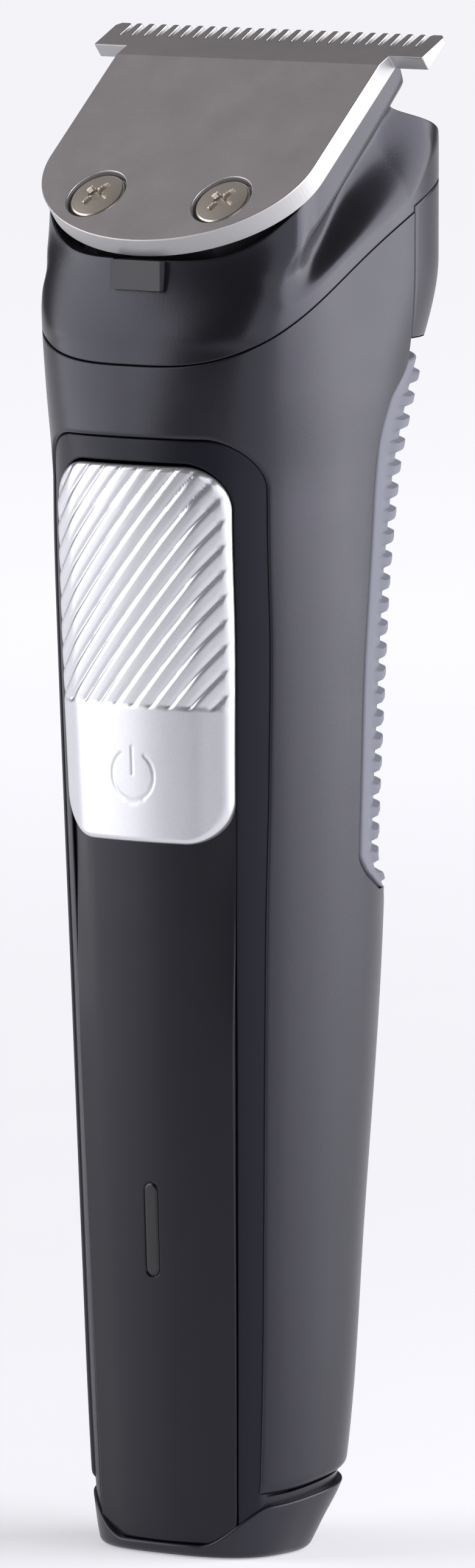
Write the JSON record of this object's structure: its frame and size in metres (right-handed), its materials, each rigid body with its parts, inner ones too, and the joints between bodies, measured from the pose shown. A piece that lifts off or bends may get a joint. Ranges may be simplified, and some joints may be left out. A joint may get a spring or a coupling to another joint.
{
  "type": "beard trimmer",
  "caption": "Cordless beard trimmer: tapered grip handle with slide switch, pull-off head and an angled T-shaped steel blade.",
  "frame": {"origin": "centre of the overall box in X and Y, on the plane of the base", "axes": "+X to the user's right, -Y the front with switch and blade face, +Z from base to blade"},
  "size_m": [0.041, 0.0374, 0.1538],
  "materials": {
    "satin_black": "satin moulded plastic",
    "bezel_black": "smooth satin plastic",
    "panel_black": "smooth semi-gloss plastic",
    "grip_rubber": "ribbed soft-touch rubber",
    "silver_paint": "silver painted plastic with diagonal ribs",
    "smoked_lens": "smoked lens",
    "blade_steel": "ground satin steel",
    "screw_steel": "plain steel",
    "inner_plastic": "plain moulded plastic",
    "white_plastic": "white acetal",
    "board_green": "printed circuit board",
    "copper": "bare copper alloy",
    "cell_sleeve": "shrink sleeve over the cell",
    "red_wire": "wire sleeve"
  },
  "bodies": {
    "handle": {"front_housing": "satin_black", "rear_housing": "satin_black", "grip_pad": "grip_rubber", "front_bezel": "bezel_black", "front_panel": "panel_black", "indicator_lens": "smoked_lens", "base_cap": "satin_black", "base_screw_left": "screw_steel", "base_screw_right": "screw_steel", "charge_socket": "screw_steel", "socket_tongue": "inner_plastic", "circuit_board": "board_green", "charge_chip": "inner_plastic", "indicator_led": "white_plastic", "slide_switch_body": "screw_steel", "battery_cell": "cell_sleeve", "battery_tab_top": "copper", "battery_tab_bottom": "copper", "chassis": "inner_plastic", "motor_can": "screw_steel", "motor_end_bell": "white_plastic", "motor_lead_red": "red_wire", "motor_lead_black": "inner_plastic", "neck_collar": "inner_plastic", "neck_seal": "grip_rubber"},
    "switch": {"switch_slider": "silver_paint", "switch_carriage": "inner_plastic", "slide_switch_knob": "white_plastic"},
    "drive": {"motor_shaft": "screw_steel", "eccentric_hub": "white_plastic", "drive_pin": "screw_steel"},
    "head": {"head_housing": "satin_black", "blade_carrier": "inner_plastic", "fixed_blade": "blade_steel", "blade_screw_left": "screw_steel", "blade_screw_right": "screw_steel", "tension_spring": "screw_steel"},
    "cutter": {"moving_cutter": "blade_steel", "cutter_follower": "white_plastic"}
  },
  "joints": [
    {"name": "head_lift", "type": "slide", "parent": "handle", "child": "head", "axis": [0, 0, 1], "range_m": [0, 0.012]},
    {"name": "cutter_slide", "type": "slide", "parent": "head", "child": "cutter", "axis": [1, 0, 0], "range_m": [-0.0009, 0.0009]},
    {"name": "drive_spin", "type": "hinge", "parent": "handle", "child": "drive", "pos_m": [0, -0.00136, 0.1], "axis": [0, 0, 1], "continuous": true},
    {"name": "switch_slide", "type": "slide", "parent": "handle", "child": "switch", "axis": [0, 0, -1], "range_m": [0, 0.003]}
  ]
}
